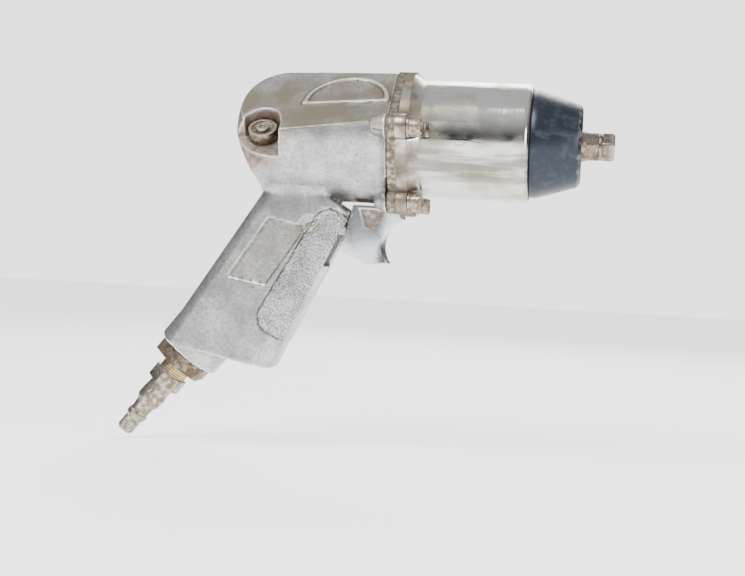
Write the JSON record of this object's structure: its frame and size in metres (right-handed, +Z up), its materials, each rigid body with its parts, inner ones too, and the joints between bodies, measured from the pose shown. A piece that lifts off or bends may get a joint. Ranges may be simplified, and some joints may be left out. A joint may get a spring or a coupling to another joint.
{
  "type": "pneumatic impact wrench",
  "caption": "Pistol-grip air impact wrench: cast motor housing with sloping facet and regulator dial, round hammer case, tapered nose, square drive, trigger and hose plug.",
  "frame": {"origin": "middle of the square drive's end face, on the barrel's axis", "axes": "+X along the barrel out of the drive, +Z up, so the grip hangs down and back; +Y is the right-hand side seen from behind the tool"},
  "size_m": [0.2215, 0.0724, 0.1725],
  "materials": {
    "cast_aluminium": "cast, lightly polished, dulled by use",
    "gasket_paper": "oil soaked fibre",
    "plated_steel": "nickel plate, worn and stained",
    "blued_steel": "blue-black oxide",
    "bronze": "oiled sintered bronze",
    "screw_steel": "plain, slightly rusted",
    "hardened_steel": "ground and oiled",
    "blade_composite": "phenolic",
    "o_ring_rubber": "matt",
    "trigger_plate": "polished plate over cast metal",
    "brass": "turned",
    "dial_steel": "knurled, dirty",
    "fitting_steel": "worn plating over steel",
    "washer_fibre": "red-brown fibre"
  },
  "bodies": {
    "tool": {"motor_housing": "cast_aluminium", "housing_gasket": "gasket_paper", "joint_plate": "plated_steel", "hammer_case": "plated_steel", "nose_cone": "blued_steel", "anvil_bushing": "bronze", "case_screws": "screw_steel", "lock_washers": "screw_steel", "motor_cylinder": "hardened_steel", "front_end_plate": "hardened_steel", "rear_end_plate": "hardened_steel", "dowel_pin": "screw_steel", "end_washer": "screw_steel", "front_bearing_outer": "hardened_steel", "rear_bearing_outer": "hardened_steel", "valve_sleeve": "brass", "cross_pin": "screw_steel", "valve_spring": "hardened_steel", "inlet_bushing": "fitting_steel", "inlet_washer": "washer_fibre", "inlet_screen": "brass", "hose_plug": "fitting_steel"},
    "rotor": {"rotor": "hardened_steel", "rotor_blades": "blade_composite", "front_bearing_inner": "hardened_steel", "rear_bearing_inner": "hardened_steel", "front_bearing_balls": "hardened_steel", "rear_bearing_balls": "hardened_steel", "hammer_cage": "hardened_steel", "hammer_pins": "hardened_steel"},
    "front_hammer": {"front_hammer": "hardened_steel"},
    "rear_hammer": {"rear_hammer": "hardened_steel"},
    "anvil": {"anvil": "hardened_steel", "socket_ring": "hardened_steel", "socket_o_ring": "o_ring_rubber"},
    "trigger": {"trigger": "trigger_plate"},
    "throttle_valve": {"throttle_valve": "hardened_steel"},
    "regulator": {"regulator_dial": "dial_steel", "dial_screw": "screw_steel"}
  },
  "joints": [
    {"name": "motor_spin", "type": "hinge", "parent": "tool", "child": "rotor", "pos_m": [-0.11, 0, 0], "axis": [1, 0, 0], "continuous": true},
    {"name": "drive_spin", "type": "hinge", "parent": "tool", "child": "anvil", "pos_m": [-0.03, 0, 0], "axis": [1, 0, 0], "continuous": true},
    {"name": "front_hammer_swing", "type": "hinge", "parent": "rotor", "child": "front_hammer", "pos_m": [-0.06, 0, 0.0178], "axis": [1, 0, 0], "range_deg": [-2, 2]},
    {"name": "rear_hammer_swing", "type": "hinge", "parent": "rotor", "child": "rear_hammer", "pos_m": [-0.075, 0, -0.0178], "axis": [1, 0, 0], "range_deg": [-2, 2]},
    {"name": "trigger_pull", "type": "slide", "parent": "tool", "child": "trigger", "axis": [-1, 0, 0], "range_m": [0, 0.006], "stiffness_N_per_m": 400, "springref_m": -0.004, "deforming": ["valve_spring"]},
    {"name": "valve_travel", "type": "slide", "parent": "tool", "child": "throttle_valve", "axis": [-1, 0, 0], "range_m": [0, 0.006]},
    {"name": "regulator_turn", "type": "hinge", "parent": "tool", "child": "regulator", "pos_m": [-0.155, -0.01652, -0.00317], "axis": [0, -0.6691, 0.7431], "range_deg": [-90, 90]}
  ],
  "couplings": [
    {"joint": "valve_travel", "follows": "trigger_pull", "ratio": 1}
  ]
}
